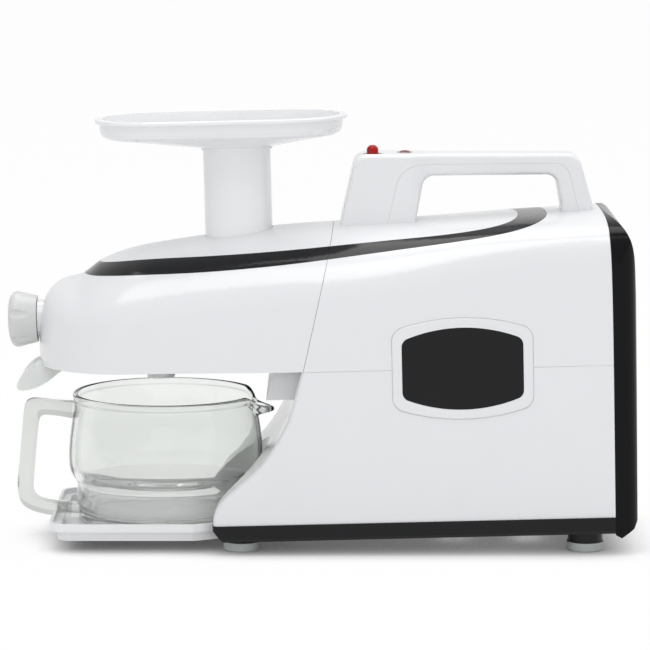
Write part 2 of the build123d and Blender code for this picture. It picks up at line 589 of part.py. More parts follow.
def make_rear_cover():
    """Black rear cover, rounded at its edges, with cooling slots and the inlet's cut-out."""
    side = Spline((COVER_TOP_X - 6, 256.2), (COVER_TOP_X + 2, 254.2), (COVER_TOP_X + 10, 249.0),
                  (COVER_TOP_X + 16, 240.5), (REAR_X - 1.6, 226), (REAR_X, 196))
    rest = Polyline(side @ 1, (REAR_X - 1.2, BASE_BOTTOM + 9), (REAR_X - 4, BASE_BOTTOM + 3),
                    (REAR_X - 14, BASE_BOTTOM - 3.5), (COVER_X, BASE_BOTTOM - 1), (COVER_TOP_X - 6, BASE_BOTTOM - 1),
                    side @ 0)
    profile = Plane.XZ * make_face([*side.edges(), *rest.edges()])

    def form(inset):
        half = BODY_HALF - inset
        plan = Pos(REAR_X / 2 - inset / 2, 0, 0) * RectangleRounded(REAR_X - inset, 2 * half, 14 - inset)
        walls = extrude(Pos(0, 0, BASE_BOTTOM - 5) * plan, amount=280)
        crown = extrude(hull_section(RIDGE_END_X, inset, BASE_BOTTOM - 5), amount=30, both=True)
        return Pos(-inset, 0, -inset) * extrude(profile, amount=BODY_HALF, both=True) & walls & crown

    outer = form(0) & cover_region(0)
    hollow = form(COVER_WALL) & block(0, REAR_X - COVER_WALL, -100, 100, BASE_BOTTOM + 2, 260)
    cover = outer - hollow
    slots = 9
    for side_y in (-1, 1):
        for i in range(slots):
            z = 70 + SLOT_PITCH * i * 1.5
            cover -= block(REAR_X - 8, REAR_X + 5, side_y * 34 - 22, side_y * 34 + 22, z, z + 3.5)
    cover -= block(REAR_X - 8, REAR_X + 5, -INLET_HALF - 0.3, INLET_HALF + 0.3, INLET_Z - 12.3, INLET_Z + 12.3)
    for y, z in COVER_SCREWS:
        cover += along_x(5.5, COVER_X, REAR_X - COVER_WALL, y, z)
        cover -= along_x(SCREW_RADIUS + 0.4, COVER_X - 1, REAR_X + 5, y, z)
        cover -= along_x(SCREW_HEAD + 0.4, REAR_X - 3, REAR_X + 5, y, z)
    keep_leant("rear_cover", cover)


INLET_HALF = 15.0
INLET_Z = 45.0
COVER_SCREWS = [(70.0, 40.0), (-70.0, 40.0), (70.0, 205.0), (-70.0, 205.0)]


def make_inlet():
    """Mains inlet socket in the rear cover: a rimmed shroud with three flat pins."""
    face_x = REAR_X - 1.2
    shroud = block(face_x - 20, face_x, -INLET_HALF, INLET_HALF, INLET_Z - 12, INLET_Z + 12)
    shroud += block(face_x - 1, face_x + 1, -INLET_HALF, INLET_HALF, INLET_Z - 12, INLET_Z + 12)
    shroud -= block(face_x - 16, face_x + 3, -INLET_HALF + 3, INLET_HALF - 3, INLET_Z - 9, INLET_Z + 9)
    pins = [block(face_x - 21.5, face_x - 5, y - 1, y + 1, INLET_Z + z - 2.4, INLET_Z + z + 2.4)
            for y, z in ((-7, -2), (0, 3), (7, -2))]
    for pin in pins:
        shroud -= pin
    keep_leant("inlet_socket", shroud)
    keep_leant("inlet_pins", all_of(pins))


def make_base():
    """Black base tray under the housing, with the jug's pocket and pads for the feet."""
    floor = block(BASE_FRONT_X, COVER_X - FIT / 2, -BASE_HALF, BASE_HALF, BASE_BOTTOM, BASE_TOP)
    corners = floor.edges().filter_by(Axis.Z).filter_by(lambda e: e.center().X < 0)
    floor = fillet(corners, 5)
    bottom = floor.edges().filter_by(lambda e: abs(e.center().Z - BASE_BOTTOM) < 0.1 and e.center().X < COVER_X - 5)
    floor = chamfer(bottom, 2.5)
    wall = HOUSING_WALL
    floor -= side_prism([(BASE_FRONT_X - 1, BASE_TOP - 2.5), (BASE_FRONT_X, BASE_TOP - 3.5),
                         (BASE_FRONT_X + 8, BASE_BOTTOM - 0.2), (BASE_FRONT_X - 1, BASE_BOTTOM - 0.2)], 100)
    hollow = block(BASE_FRONT_X + wall + 8, COVER_X - wall, -BASE_HALF + wall + 1, BASE_HALF - wall - 1,
                   BASE_BOTTOM + wall, BASE_TOP + 1)
    base = floor - pocket(0) - (hollow - pocket(wall))
    for x, y in BASE_BOSSES:
        base += upright(6, BASE_BOTTOM + 1, BASE_TOP, x, y)
        base -= upright(SCREW_RADIUS + 0.3, BASE_BOTTOM - 1, BASE_TOP + 1, x, y)
        base -= upright(SCREW_HEAD + 0.3, BASE_BOTTOM - 1, BASE_BOTTOM + 4, x, y)
    vent_count = 8
    for i in range(vent_count):
        x = 100 + i * SLOT_PITCH * 1.6
        base -= block(x, x + 4, -30, 30, BASE_BOTTOM - 1, BASE_BOTTOM + wall + 1)
    keep_leant("base_pan", base)


def make_feet():
    """Level feet: grey rubber pads, on short front stems and tall black rear stems."""
    pads = {"front_foot_pads": FRONT_FOOT_X, "rear_foot_pads": REAR_FOOT_X}
    for name, x in pads.items():
        shapes = []
        for y in (-FOOT_Y, FOOT_Y):
            pad = upright(FOOT_RADIUS, 0, FOOT_PAD, x, y)
            pad = chamfer(pad.edges().group_by(Axis.Z)[0], 1.2)
            shapes.append(pad)
        keep(name, all_of(shapes))
    cut = Rot(0, -LEAN, 0) * block(-200, 300, -100, 100, BASE_BOTTOM, 100)
    for name, x, radius in (("front_foot_stems", FRONT_FOOT_X, 8.5), ("rear_foot_stems", REAR_FOOT_X, 13.4)):
        stems = [upright(radius, FOOT_PAD, FOOT_PAD + 20, x, y) - cut for y in (-FOOT_Y, FOOT_Y)]
        keep(name, all_of(stems))


# ---------------------------------------------------------------- carrying handle and controls
HANDLE_SCREWS = (70.0, 200.0)
HANDLE_FOOT = 230.0        # the legs are drawn down to here and cut off at the housing
HANDLE_EDGE = 4.0
SWITCH_X = 49.8            # power lever's place on the handle's front column
BUTTON_X = 74.9            # reset button's place
GRIP_BOTTOM = 283.0
SPLIT_Z = 292.0            # parting line between the handle's cover and its grip insert


def handle_outline(low):
    return [(21.0, low), (24.0, 252.0), (36.5, HANDLE_TOP_FRONT), (209.5, HANDLE_TOP_REAR), (220.2, 257.0),
            (220.8, low)]


def rounded_prism(points, half, corner_radii):
    face = make_face(Polyline(*points, close=True))
    for (x, z), radius in corner_radii:
        corner = face.vertices().sort_by(lambda v: (v.X - x) ** 2 + (v.Y - z) ** 2)[0]
        face = fillet(corner, radius)
    return extrude(Plane.XZ * face, amount=half, both=True)


def handle_solid():
    """The whole handle's form: a wide front column, a narrower grip bar and a rear leg."""
    outline = handle_outline(HANDLE_FOOT)
    body = rounded_prism(outline, HANDLE_HALF, [(outline[2], HANDLE_CORNER), (outline[3], HANDLE_CORNER)])
    waist = make_face(Polyline((78.0, HANDLE_HALF + 1), (96.0, GRIP_HALF), (250.0, GRIP_HALF),
                               (250.0, HANDLE_HALF + 1), close=True))
    waist = fillet(waist.vertices().sort_by(lambda v: abs(v.X - 96))[0], 14)
    side_cut = extrude(Pos(0, 0, HANDLE_FOOT - 5) * waist, amount=100)
    body = body - side_cut - mirror(side_cut, about=Plane.XZ)
    rims = body.edges().filter_by(lambda e: abs(e.center().Y) > GRIP_HALF - 0.6
                                  and max(e.bounding_box().size.X, e.bounding_box().size.Y) > 0.3
                                  and e.bounding_box().size.Y < 8 and e.center().Z > HANDLE_FOOT + 1)
    body = fillet(rims, HANDLE_EDGE)
    gap = rounded_prism([(80.6, HANDLE_FOOT - 1), (81.6, 246.0), (89.5, GRIP_BOTTOM + 0.6),
                         (191.5, GRIP_BOTTOM - 0.6), (195.4, 257.0), (196.0, HANDLE_FOOT - 1)], 60,
                        [((89.5, GRIP_BOTTOM + 0.6), 9), ((191.5, GRIP_BOTTOM - 0.6), 9)])
    return body - gap - OUTER


def split_region(offset):
    """The part of the handle inside its parting line: the grip's underside and the legs' inner faces."""
    points = [(56.0 - offset, 230.0), (58.5 - offset, 240.0), (71.5 - offset, SPLIT_Z + 0.8 + offset),
              (200.5 + offset, SPLIT_Z - 0.8 + offset), (209.3 + offset, 252.0), (209.8 + offset, 230.0)]
    return rounded_prism(points, 60, [(points[2], 20), (points[3], 12)])


def make_handle():
    whole = handle_solid()
    cover = whole - split_region(0.05)
    roof = HANDLE_TOP_FRONT - 4
    cover -= side_prism([(28.0, HANDLE_FOOT), (30.5, 255.0), (40.0, roof), (SWITCH_X + 6, roof),
                         (SWITCH_X + 6, HANDLE_FOOT)], HANDLE_HALF - 4)
    slot = Pos(SWITCH_X, LEVER_Y, HANDLE_TOP_FRONT - 12) * oval(2 * (LEVER_RADIUS + 3.2), 2 * LEVER_RADIUS + 1.2)
    cover -= extrude(slot, amount=20)
    cover -= upright(BUTTON_RADIUS + FIT, SPLIT_Z - 8, HANDLE_TOP_FRONT + 5, BUTTON_X)
    grip = whole & split_region(-0.05)
    grip -= upright(BUTTON_RADIUS + FIT, SPLIT_Z - 8, HANDLE_TOP_FRONT, BUTTON_X)
    for x in HANDLE_SCREWS:
        grip -= upright(SCREW_RADIUS, 235, 275, x)
    keep_leant("handle_cover", cover)
    keep_leant("handle_grip", grip)


LEVER_RADIUS = 4.6
LEVER_TOP = 308.6
LEVER_Y = -11.5            # the lever stands beside the middle, towards the near side
LEVER_PIVOT_Z = 288.0
LEVER_SWING = 10.0         # degrees each way: reverse, off, forward
BUTTON_RADIUS = 6.2
BUTTON_TRAVEL = 1.6


def make_controls():
    """Red power lever on its rocker switch, and the domed reset button on its breaker."""
    pivot = Pos(SWITCH_X, LEVER_Y, LEVER_PIVOT_Z) * Rot(90, 0, 0)
    lever = pivot * Cylinder(5.0, 5) + upright(LEVER_RADIUS, LEVER_PIVOT_Z + 4.2, LEVER_TOP, SWITCH_X, LEVER_Y)
    lever -= pivot * Cylinder(1.5 + RUNNING, 12)
    lever = fillet(lever.edges().group_by(Axis.Z)[-1], LEVER_RADIUS - 0.3)
    keep_leant("power_lever", lever)
    body = block(SWITCH_X - 13, SWITCH_X + 4, -16, 11, LEVER_PIVOT_Z - 34, LEVER_PIVOT_Z - 8)
    for y in (LEVER_Y - 3.6, LEVER_Y + 3.6):
        body += block(SWITCH_X - 7, SWITCH_X + 4, y - 0.9, y + 0.9, LEVER_PIVOT_Z - 9, LEVER_PIVOT_Z + 3)
    body += block(SWITCH_X - 4, SWITCH_X + 4, 4 - HANDLE_HALF, HANDLE_HALF - 4, 264, 267)
    keep_leant("switch_body", body + pivot * Cylinder(1.5, 9))
    button = upright(BUTTON_RADIUS, HANDLE_TOP_FRONT - 9, HANDLE_TOP_FRONT - 1.6, BUTTON_X)
    dome = Pos(BUTTON_X, 0, HANDLE_TOP_FRONT - 8.6) * Sphere(9.3)
    button = button + (dome & upright(BUTTON_RADIUS, HANDLE_TOP_FRONT - 2, HANDLE_TOP_FRONT + 4, BUTTON_X))
    keep_leant("reset_button", button)
    breaker = upright(BUTTON_RADIUS, SPLIT_Z - 7.9, HANDLE_TOP_FRONT - 9 - BUTTON_TRAVEL - 0.3, BUTTON_X)
    keep_leant("breaker_body", breaker)


# ---------------------------------------------------------------- gearbox and motor
OUTPUT_TEETH = 45
OUTPUT_PINION_TEETH = 15
OUTPUT_MODULE = 1.5
MOTOR_GEAR_TEETH = 60
MOTOR_PINION_TEETH = 12
MOTOR_MODULE = 1.25
OUTPUT_GEAR_X = (38.0, 49.0)
MOTOR_GEAR_X = (58.0, 67.0)
CASE_FRONT_X = 32.0
CASE_REAR_X = 71.0
CASE_HALF = 46.0
CASE_WALL = 3.0
CASE_TOP = 218.0
CASE_BOTTOM = 72.0
LAYSHAFT_RADIUS = 5.0
MOTOR_SHAFT_RADIUS = 4.0
BASE_FLOOR = BASE_BOTTOM + HOUSING_WALL


def spur_gear(teeth, module, x0, x1, z, phase=0.0):
    """Straight-flanked spur gear on an axis along X, with enough backlash to turn freely."""
    pitch_radius = teeth * module / 2
    tip, root = pitch_radius + 0.85 * module, pitch_radius - 1.15 * module
    points = []
    for i in range(teeth):
        for share, r in ((-0.27, root), (-0.10, tip), (0.10, tip), (0.27, root)):
            a = 2 * math.pi * (i + share) / teeth + math.radians(phase)
            points.append((r * math.cos(a), r * math.sin(a)))
    face = make_face(Polyline(*points, close=True))
    return Pos(x1, OUTPUT_Y, z) * Rot(0, -90, 0) * extrude(face, amount=x1 - x0)


def on_axis(radius, x0, x1, z):
    return along_x(radius, x0, x1, OUTPUT_Y, z)


def make_output():
    """Output shaft with the cup that drives the juicing gear, and its large gear."""
    cup_front = BULKHEAD_X + 1
    shaft = on_axis(OUTPUT_RADIUS, cup_front, 24, OUTPUT_Z) + on_axis(8, 23, OUTPUT_GEAR_X[1] + 7, OUTPUT_Z)
    shaft -= on_axis(SHAFT_RADIUS + FIT, cup_front - 1, DRIVE_SOCKET_X + FIT, OUTPUT_Z)
    keep_leant("output_shaft", shaft)
    gear = spur_gear(OUTPUT_TEETH, OUTPUT_MODULE, *OUTPUT_GEAR_X, OUTPUT_Z)
    gear -= on_axis(8.01, OUTPUT_GEAR_X[0] - 1, OUTPUT_GEAR_X[1] + 1, OUTPUT_Z)
    web = on_axis(27, OUTPUT_GEAR_X[0] - 1, OUTPUT_GEAR_X[0] + 3, OUTPUT_Z)
    keep_leant("output_gear", gear - (web - on_axis(14, OUTPUT_GEAR_X[0] - 2, OUTPUT_GEAR_X[0] + 4, OUTPUT_Z)))


def make_layshaft():
    """Intermediate gear cluster turning on a fixed pin."""
    cluster = spur_gear(OUTPUT_PINION_TEETH, OUTPUT_MODULE, OUTPUT_GEAR_X[0] - 1, MOTOR_GEAR_X[0], LAYSHAFT_Z)
    cluster += spur_gear(MOTOR_GEAR_TEETH, MOTOR_MODULE, *MOTOR_GEAR_X, LAYSHAFT_Z)
    cluster -= on_axis(LAYSHAFT_RADIUS + RUNNING, CASE_FRONT_X, CASE_REAR_X, LAYSHAFT_Z)
    keep_leant("intermediate_gear", cluster)
    keep_leant("layshaft_pin", on_axis(LAYSHAFT_RADIUS, CASE_FRONT_X, CASE_REAR_X + CASE_WALL, LAYSHAFT_Z))


def make_gearbox():
    """Cast gearbox case on two feet, closed by a rear cover plate that carries the motor."""
    y0, y1 = OUTPUT_Y - CASE_HALF, OUTPUT_Y + CASE_HALF
    case = block(CASE_FRONT_X, CASE_REAR_X, y0, y1, CASE_BOTTOM, CASE_TOP)
    case = fillet(case.edges().filter_by(Axis.X), 16)
    case -= fillet(block(CASE_FRONT_X + CASE_WALL, CASE_REAR_X + 1, y0 + CASE_WALL, y1 - CASE_WALL,
                         CASE_BOTTOM + CASE_WALL, CASE_TOP - CASE_WALL).edges().filter_by(Axis.X), 13)
    case -= on_axis(8 + RUNNING, CASE_FRONT_X - 1, CASE_FRONT_X + CASE_WALL + 1, OUTPUT_Z)
    case -= on_axis(LAYSHAFT_RADIUS + 0.01, CASE_FRONT_X - 1, CASE_FRONT_X + CASE_WALL + 1, LAYSHAFT_Z)
    for y in (y0 + 4, y1 - 14):
        case += block(CASE_FRONT_X, CASE_REAR_X, y, y + 10, BASE_FLOOR, CASE_BOTTOM + 17) \
            - block(CASE_FRONT_X + CASE_WALL, CASE_REAR_X + 1, y0 + CASE_WALL, y1 - CASE_WALL,
                    CASE_BOTTOM + CASE_WALL, CASE_TOP)
    keep_leant("gearbox_case", case)
    cover = block(CASE_REAR_X, CASE_REAR_X + CASE_WALL, y0, y1, CASE_BOTTOM, CASE_TOP)
    cover = fillet(cover.edges().filter_by(Axis.X), 16)
    cover += on_axis(12, OUTPUT_GEAR_X[1] + 2, CASE_REAR_X + 1, OUTPUT_Z) \
        - block(0, MOTOR_GEAR_X[1] + 1, -100, 100, 0, LAYSHAFT_Z + 42)
    cover += block(OUTPUT_GEAR_X[1] + 2, CASE_REAR_X, OUTPUT_Y - 9, OUTPUT_Y + 9, OUTPUT_Z + 3, OUTPUT_Z + 11)
    cover -= on_axis(8 + RUNNING, 0, OUTPUT_GEAR_X[1] + 7.2, OUTPUT_Z)
    cover -= on_axis(LAYSHAFT_RADIUS + 0.01, CASE_REAR_X - 1, CASE_REAR_X + 5, LAYSHAFT_Z)
    keep_leant("gearbox_cover", cover - block(0, 200, y0, y1, CASE_BOTTOM - 1, MOTOR_Z + 16))


def make_motor():
    """Induction motor: laminated stator, windings, end bells, rotor, pinion and cooling fan."""
    stack = (MOTOR_FRONT_X + 16, MOTOR_REAR_X - 20)
    stator = on_axis(MOTOR_RADIUS, *stack, MOTOR_Z) - on_axis(24, stack[0] - 1, stack[1] + 1, MOTOR_Z)
    keep_leant("motor_stator", stator)
    coils = []
    for x0, x1 in ((stack[0] - 12, stack[0]), (stack[1], stack[1] + 12)):
        ring = on_axis(37, x0, x1, MOTOR_Z)
        ring = fillet(ring.edges(), 3)
        coils.append(ring - on_axis(25, x0 - 1, x1 + 1, MOTOR_Z))
    keep_leant("motor_windings", all_of(coils))
    for name, x_face, x_rim in (("front_end_bell", MOTOR_FRONT_X, stack[0]), ("rear_end_bell", MOTOR_REAR_X, stack[1])):
        way = 1 if x_rim > x_face else -1
        bell = on_axis(MOTOR_RADIUS, min(x_face, x_rim), max(x_face, x_rim), MOTOR_Z)
        inside = (x_face + 3 * way, x_rim + way)
        bell -= on_axis(MOTOR_RADIUS - 3, min(inside), max(inside), MOTOR_Z)
        bell += on_axis(10, min(x_face, x_face + 7 * way), max(x_face, x_face + 7 * way), MOTOR_Z)
        bell -= on_axis(MOTOR_SHAFT_RADIUS + RUNNING, min(x_face, x_rim) - 9, max(x_face, x_rim) + 9, MOTOR_Z)
        for i in range(6):
            angle = math.radians(60 * i + 30)
            y, z = 24 * math.cos(angle), 24 * math.sin(angle)
            bell -= along_x(6, x_face - 4, x_face + 4, OUTPUT_Y + y, MOTOR_Z + z)
        keep_leant(name, bell)
    rotor = on_axis(23.5, *stack, MOTOR_Z)
    rotor += on_axis(MOTOR_SHAFT_RADIUS, MOTOR_GEAR_X[0] - 2, MOTOR_REAR_X + 22, MOTOR_Z)
    keep_leant("motor_rotor", rotor)
    pinion = spur_gear(MOTOR_PINION_TEETH, MOTOR_MODULE, MOTOR_GEAR_X[0] - 1, MOTOR_GEAR_X[1] + 1, MOTOR_Z,
                       180 / MOTOR_PINION_TEETH)
    keep_leant("motor_pinion", pinion - on_axis(MOTOR_SHAFT_RADIUS + 0.01, 50, 75, MOTOR_Z))
    fan_x = MOTOR_REAR_X + 6
    fan = on_axis(9, fan_x, fan_x + 14, MOTOR_Z) + on_axis(34, fan_x, fan_x + 1.6, MOTOR_Z)
    blades = 9
    for i in range(blades):
        turn = Pos(0, OUTPUT_Y, MOTOR_Z) * Rot(360 * i / blades, 0, 0)
        fan += turn * block(fan_x + 1, fan_x + 13, -0.9, 0.9, 8, 34)
    keep_leant("cooling_fan", fan - on_axis(MOTOR_SHAFT_RADIUS + 0.01, fan_x - 1, fan_x + 15, MOTOR_Z))
    cradle = block(stack[0] + 4, stack[1] - 4, OUTPUT_Y - 34, OUTPUT_Y + 34, BASE_FLOOR, MOTOR_Z - 22)
    cradle -= on_axis(MOTOR_RADIUS, 0, 300, MOTOR_Z)
    cradle -= block(stack[0], stack[1], OUTPUT_Y - 24, OUTPUT_Y + 24, BASE_FLOOR + 4, MOTOR_Z - MOTOR_RADIUS - 4)
    keep_leant("motor_cradle", cradle)
    capacitor = Pos(130, 54, BASE_FLOOR + 18.2) * Rot(0, 90, 0) * Cylinder(18, 60)
    saddle = block(112, 148, 36, 72, BASE_FLOOR, BASE_FLOOR + 9) - along_x(18.05, 90, 170, 54, BASE_FLOOR + 18.2)
    keep_leant("run_capacitor", capacitor)
    keep_leant("capacitor_saddle", saddle)


# ---------------------------------------------------------------- fasteners
def screw(length, head_radius=SCREW_HEAD):
    """Pan-head screw with its shank along +Z and its head below the origin."""
    shank = Pos(0, 0, length / 2) * Cylinder(SCREW_RADIUS - 0.02, length)
    head = Pos(0, 0, -1.2) * Cylinder(head_radius, 2.4)
    slot = Pos(0, 0, -2.2) * Box(4.6, 1.0, 1.2)
    return shank + head - slot


def make_screws():
    base = [Pos(x, y, BASE_BOTTOM + 4) * screw(26) for x, y in BASE_BOSSES]
    keep_leant("base_screws", all_of(base))
    cover = [Pos(REAR_X - 3, y, z) * Rot(0, -90, 0) * screw(30) for y, z in COVER_SCREWS]
    keep_leant("cover_screws", all_of(cover))
    handle = []
    for x in HANDLE_SCREWS:
        under_skin = curve_height(RIDGE, x) - SKIN
        handle.append(Pos(x, 0, under_skin - 0.25) * screw(20))
    keep_leant("handle_screws", all_of(handle))


# ---------------------------------------------------------------- jug and drip tray
JUG_SIDE = [(69.0, 0.0), (69.2, 10.0), (71.0, 17.5), (69.8, 27.0), (70.6, 32.0), (74.7, 38.0), (76.3, 45.0),
            (76.2, 59.0), (74.3, 75.0), (72.2, 92.0)]
JUG_HANDLE_HALF = 8.0
JUG_FLOOR = 6.0


def make_jug():
    """Clear glass jug: waisted foot, rolled rim, a pouring beak towards the machine and a square loop handle."""
    height = JUG_RIM_Z - JUG_BASE_Z
    outer = Spline(*JUG_SIDE)
    rim_r = JUG_SIDE[-1][0]
    rim = ThreePointArc(outer @ 1, (rim_r + 1.6, height - 4), (rim_r - 0.4, height))
    lip = ThreePointArc(rim @ 1, (rim_r - JUG_WALL / 2, height + 0.4), (rim_r - JUG_WALL, height))
    inner = Spline(lip @ 1, *[(r - JUG_WALL, z) for r, z in reversed(JUG_SIDE[5:])],
                   (68.0 - JUG_WALL, 30.0), (66.0 - JUG_WALL, 16.0), (58.0, JUG_FLOOR + 0.5), (46.0, JUG_FLOOR))
    close = Polyline(inner @ 1, (0, JUG_FLOOR), (0, 1.2), (60, 1.2), (62, 0), outer @ 0)
    profile = make_face([*outer.edges(), *rim.edges(), *lip.edges(), *inner.edges(), *close.edges()])
    glass = revolve(Plane.XZ * profile, Axis.Z)
    beak = side_prism([(rim_r - 6, height - 0.4), (rim_r - 1, height - 0.6), (rim_r + 2.2, height - 7), (rim_r + 4.4, 89.6),
                       (rim_r + 8, 88.4), (rim_r + 8, 80.6), (rim_r + 6.4, 79.2), (rim_r - 6, 78.4)], 7.5)
    channel = side_prism([(rim_r - 9, height + 1), (rim_r - 2.4, height + 1), (rim_r - 0.4, height - 8),
                          (rim_r + 1.6, 91.5), (rim_r + 5.4, 87.4), (rim_r + 12, 86.0), (rim_r + 12, height + 1)], 4.6)
    inside = revolve(Plane.XZ * make_face(Polyline((0, JUG_FLOOR + 10), (60, JUG_FLOOR + 10), (rim_r - 4.6, height - 12),
                                                   (rim_r - JUG_WALL - 0.2, height + 3), (0, height + 3), close=True)), Axis.Z)
    glass = glass + (beak - inside) - (channel & upright(100, 84.0, height + 3))
    handle = jug_handle()
    return glass + handle


def jug_handle():
    """Loop handle: nearly square in side view, its upright leaning out slightly towards the bottom."""
    outer = [(-60.0, 92.5), (-100.5, 96.5), (-111.0, 93.0), (-117.4, 26.0), (-113.0, 8.0), (-97.0, 2.6), (-64.0, 0.5)]
    inner = [(-60.0, 80.0), (-96.5, 82.6), (-99.4, 78.0), (-104.8, 24.0), (-101.0, 17.4), (-88.0, 14.6), (-64.0, 11.6)]

    def loop(points, radii):
        face = make_face(Polyline(*points, close=True))
        for (x, z), radius in radii:
            corner = face.vertices().sort_by(lambda v: (v.X - x) ** 2 + (v.Y - z) ** 2)[0]
            face = fillet(corner, radius)
        return face

    bar = loop(outer, [(outer[1], 6), (outer[2], 5), (outer[3], 20), (outer[4], 6), (outer[5], 8)])
    hole = loop(inner, [(inner[1], 3), (inner[2], 6), (inner[3], 8), (inner[4], 3), (inner[5], 4)])
    solid = extrude(Plane.XZ * bar, amount=JUG_HANDLE_HALF, both=True)
    solid -= extrude(Plane.XZ * hole, amount=JUG_HANDLE_HALF + 1, both=True)
    keep_out = revolve(Plane.XZ * make_face(Polyline((0, -1), (66, -1), (66, 8), (68.2, 20), (68.0, 30), (73.5, 42),
                                                     (73.5, 60), (71, 82), (70, 100), (0, 100), close=True)), Axis.Z)
    return solid - keep_out


def tray_plan(inset):
    """Drip tray in plan: square front with rounded corners, and a round rear that fits the jug's pocket."""
    half = DRIP_HALF - inset
    front = Pos((DRIP_FRONT_X + inset + JUG_X) / 2, 0) * Rectangle(JUG_X - DRIP_FRONT_X - inset, 2 * half)
    corners = front.vertices().filter_by(lambda v: v.X < JUG_X - 1)
    front = fillet(corners, 14 - inset / 2)
    disc = Pos(JUG_X, 0) * Circle(POCKET_RADIUS - FIT - inset)
    strip = Pos(JUG_X + 60, 0) * Rectangle(120, 2 * half)
    return front + (disc & strip)


DRIP_FRONT_X = -207.0
DRIP_HALF = 78.0
DRIP_RIM_Z = 23.0
DRIP_SKIRT_Z = 16.7
DRIP_BOTTOM_Z = 9.0
DRIP_WALL = 2.2


def make_drip_tray():
    """White drip tray with a skirted rim, a sunk floor for the jug and small feet."""
    step = 6.0
    tray = extrude(Pos(0, 0, DRIP_SKIRT_Z) * tray_plan(0), amount=DRIP_RIM_Z - DRIP_SKIRT_Z)
    tray += extrude(Pos(0, 0, DRIP_BOTTOM_Z) * tray_plan(step), amount=DRIP_SKIRT_Z - DRIP_BOTTOM_Z + 1)
    tray -= extrude(Pos(0, 0, JUG_BASE_Z) * tray_plan(step + DRIP_WALL), amount=20)
    tray -= extrude(Pos(0, 0, DRIP_SKIRT_Z + DRIP_WALL) * tray_plan(DRIP_WALL), amount=20)
    for x, y in ((-190, 20), (-190, -20), (-66, 20), (-66, -20)):
        tray += upright(6, 0, DRIP_BOTTOM_Z + 0.5, x, y)
    notch_front = DRIP_FRONT_X - 1
    tray -= block(notch_front, notch_front + step + DRIP_WALL + 4, -JUG_HANDLE_HALF - 1.5, JUG_HANDLE_HALF + 1.5,
                  JUG_BASE_Z, DRIP_RIM_Z + 1)
    keep("drip_tray", tray)


def build():
    make_hood()
    make_extraction_housing()
    make_screen()
    make_pulp_casing()
    make_pulp_spout()
    make_knob()
    make_gears()
    make_housing_seal()
    make_feed_tray()
    make_lower_housing()
    make_upper_housing()
    make_badge()
    make_bulkhead()
    make_rear_cover()
    make_inlet()
    make_base()
    make_feet()
    make_handle()
    make_controls()
    make_output()
    make_layshaft()
    make_gearbox()
    make_motor()
    make_screws()
    keep("jug", Pos(JUG_X, 0, JUG_BASE_Z) * make_jug())
    make_drip_tray()


os.makedirs("parts", exist_ok=True)
build()
for node_name, node_shape in nodes.items():
    export_step(node_shape, f"parts/{node_name}.step")
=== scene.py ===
"""Looks of the horizontal twin-gear juicer: materials, two finer visible pieces, soft studio light and the camera.

Lengths are metres, except in the outlines whose names end in _MM.
"""
import json
import math

import bmesh
import bpy
from mathutils import Matrix, Vector


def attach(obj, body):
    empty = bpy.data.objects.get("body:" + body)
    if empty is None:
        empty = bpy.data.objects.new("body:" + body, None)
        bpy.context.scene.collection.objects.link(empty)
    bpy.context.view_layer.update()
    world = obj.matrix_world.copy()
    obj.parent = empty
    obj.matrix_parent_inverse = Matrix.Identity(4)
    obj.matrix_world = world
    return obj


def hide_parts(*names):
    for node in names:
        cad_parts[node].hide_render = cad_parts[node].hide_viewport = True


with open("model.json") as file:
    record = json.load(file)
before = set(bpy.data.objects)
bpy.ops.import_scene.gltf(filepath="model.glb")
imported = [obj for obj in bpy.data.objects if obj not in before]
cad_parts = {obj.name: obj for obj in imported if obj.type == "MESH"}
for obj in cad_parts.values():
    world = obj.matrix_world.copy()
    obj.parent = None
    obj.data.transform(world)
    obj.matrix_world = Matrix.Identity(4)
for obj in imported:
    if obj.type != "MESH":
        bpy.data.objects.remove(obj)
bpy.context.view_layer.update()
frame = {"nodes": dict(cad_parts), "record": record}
nodes = frame["nodes"]
scene = bpy.context.scene


# ---------------------------------------------------------------- camera
TARGET = Vector((0.0041, 0.0, 0.1669))
ELEVATION = math.radians(8.0)
DISTANCE = 2.700
FOCAL_MM, SENSOR_MM = 190.5, 36.0

camera = bpy.data.objects.new("camera", bpy.data.cameras.new("camera"))
camera.location = TARGET + DISTANCE * Vector((0, -math.cos(ELEVATION), math.sin(ELEVATION)))
camera.rotation_euler = (TARGET - camera.location).to_track_quat("-Z", "Y").to_euler()
camera.data.lens, camera.data.sensor_width = FOCAL_MM, SENSOR_MM
camera.data.clip_end = 60.0
scene.collection.objects.link(camera)
scene.camera = camera
scene.view_settings.view_transform = "Standard"


